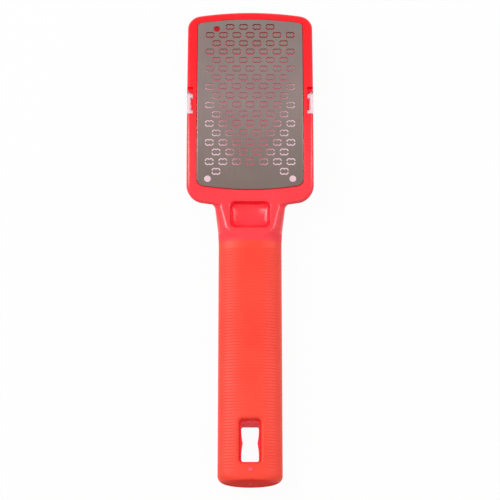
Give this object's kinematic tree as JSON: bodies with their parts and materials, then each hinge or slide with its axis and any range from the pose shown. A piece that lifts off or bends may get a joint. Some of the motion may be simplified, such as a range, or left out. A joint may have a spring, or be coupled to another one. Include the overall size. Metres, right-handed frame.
{
  "type": "callus remover",
  "caption": "Hand rasp for hard skin: a curved, perforated steel plate on a plastic head, a neck with a thumb pocket, a soft ribbed grip with a hang hole, and a clear clip-on tray.",
  "frame": {"origin": "under the middle of the tool's length and width, on the plane that it rests on with its rasp up", "axes": "+Y from the butt of the handle to the tip of the head, +Z out of the rasp's face, +X across the head"},
  "size_m": [0.0608, 0.2332, 0.0196],
  "materials": {
    "red_plastic": "satin moulded plastic",
    "steel": "fine brushed stainless sheet",
    "soft_red": "soft moulded rubber with fine cross ribs",
    "clear_plastic": "clear moulded plastic"
  },
  "bodies": {
    "tool": {"frame": "red_plastic", "rasp_plate": "steel", "grip": "soft_red"},
    "tray": {"shavings_tray": "clear_plastic"}
  },
  "joints": [
    {"name": "tray_slide", "type": "slide", "parent": "tool", "child": "tray", "axis": [0, 0, -1], "range_m": [0, 0.03]}
  ]
}
